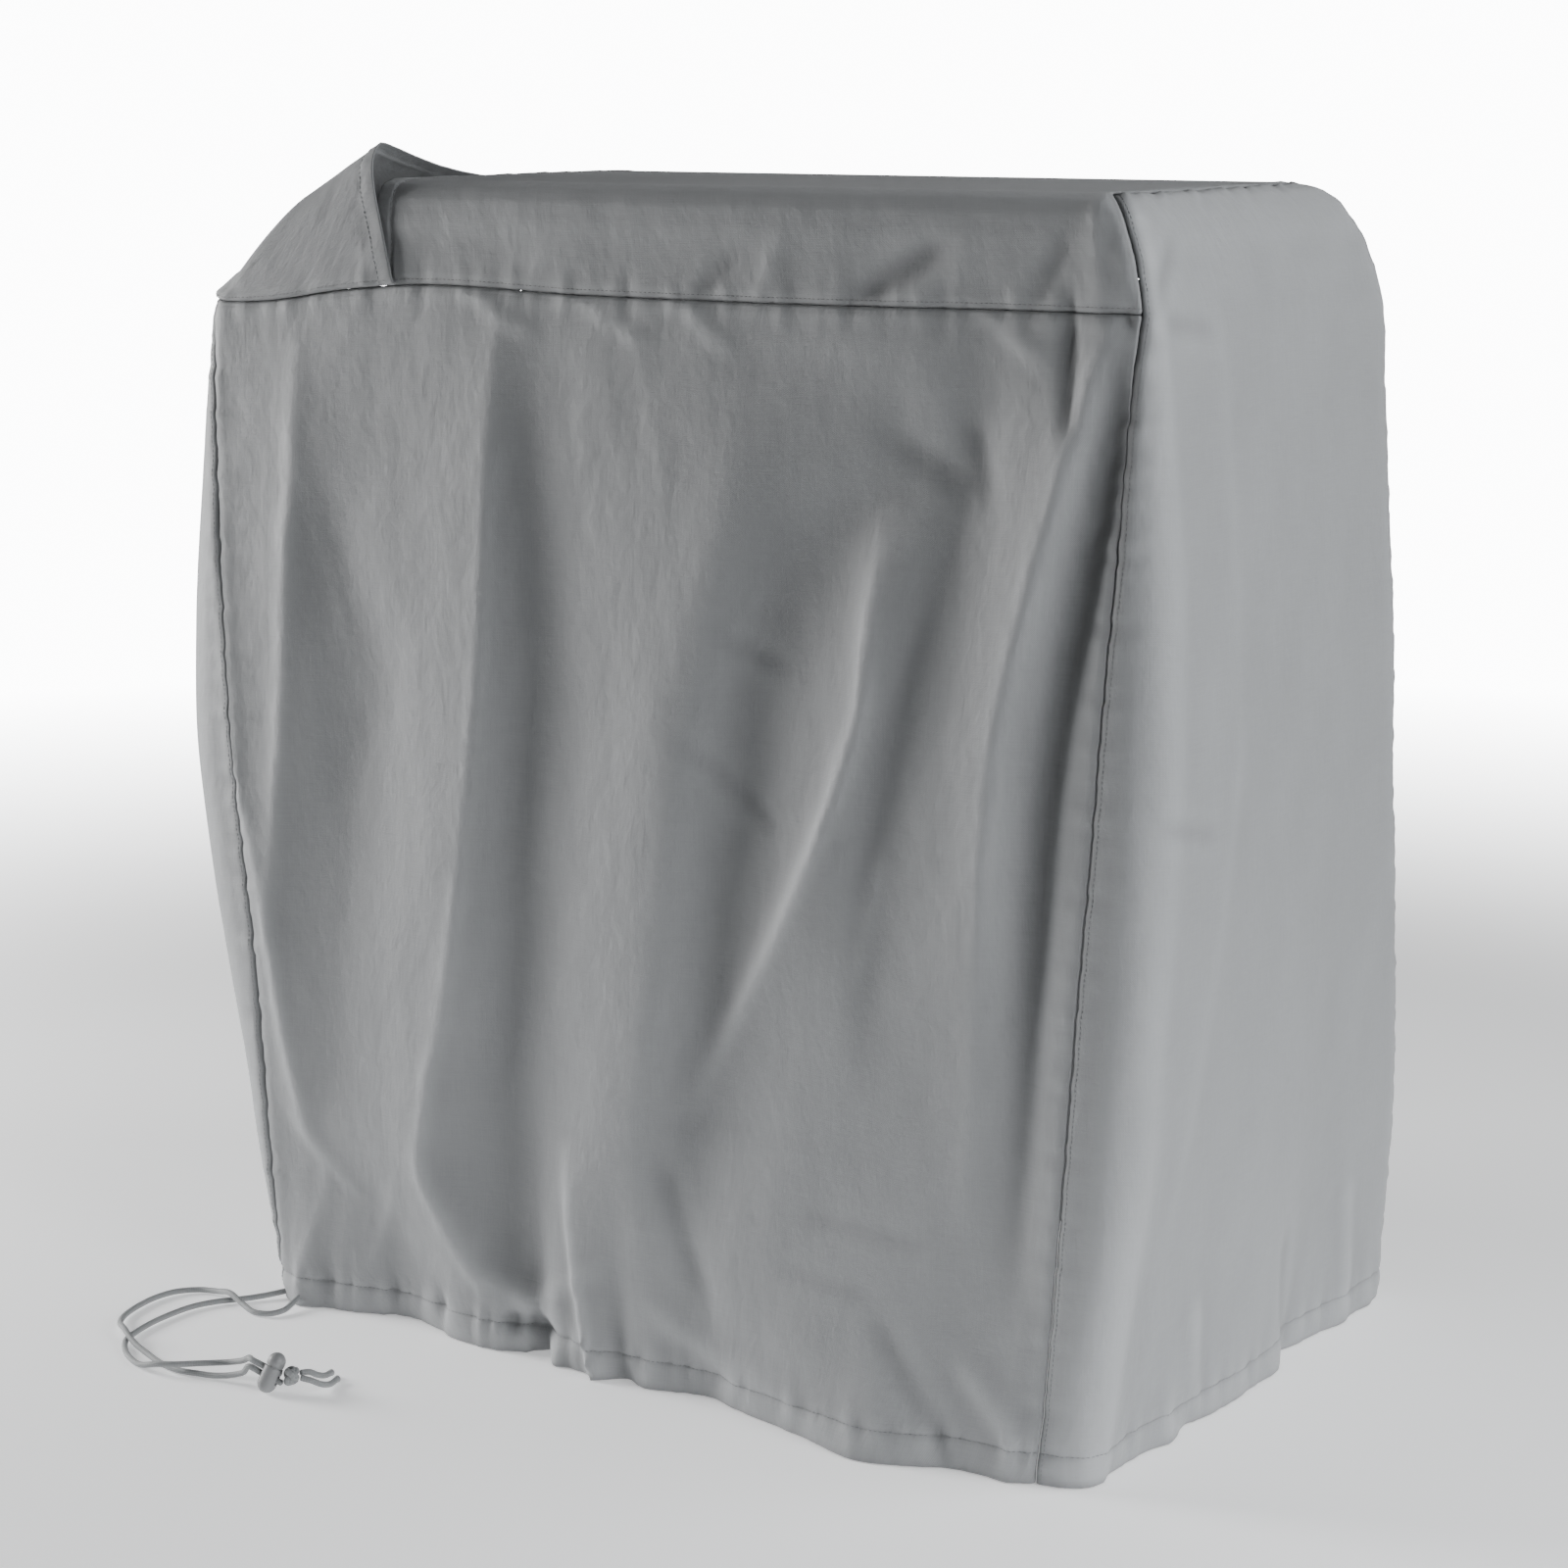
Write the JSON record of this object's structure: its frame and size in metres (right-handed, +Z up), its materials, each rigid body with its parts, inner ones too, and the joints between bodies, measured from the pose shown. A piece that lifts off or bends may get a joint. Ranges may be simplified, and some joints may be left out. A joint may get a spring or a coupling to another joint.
{
  "type": "hose reel cover",
  "caption": "Fitted grey cloth cover for a hose reel, with a slanted vent hood at the top left and a drawstring hem with cord lock and knot.",
  "frame": {"origin": "middle of the underside of the top panel, where the cover rests on what it covers", "axes": "+Z up, +X to the right along the front, +Y from the front to the back"},
  "size_m": [0.9907, 0.7877, 1.0284],
  "materials": {
    "cloth": "woven polyester with a faint sheen",
    "cord": "braided cord",
    "cord_lock": "satin plastic"
  },
  "bodies": {
    "root": {"front_panel": "cloth", "right_side_panel": "cloth", "back_panel": "cloth", "left_side_panel": "cloth", "top_panel": "cloth", "vent_hood": "cloth", "drawstring_outer": "cord", "drawstring_inner": "cord", "drawstring_tail_upper": "cord", "drawstring_tail_lower": "cord", "cord_knot": "cord", "cord_lock": "cord_lock"}
  },
  "joints": []
}
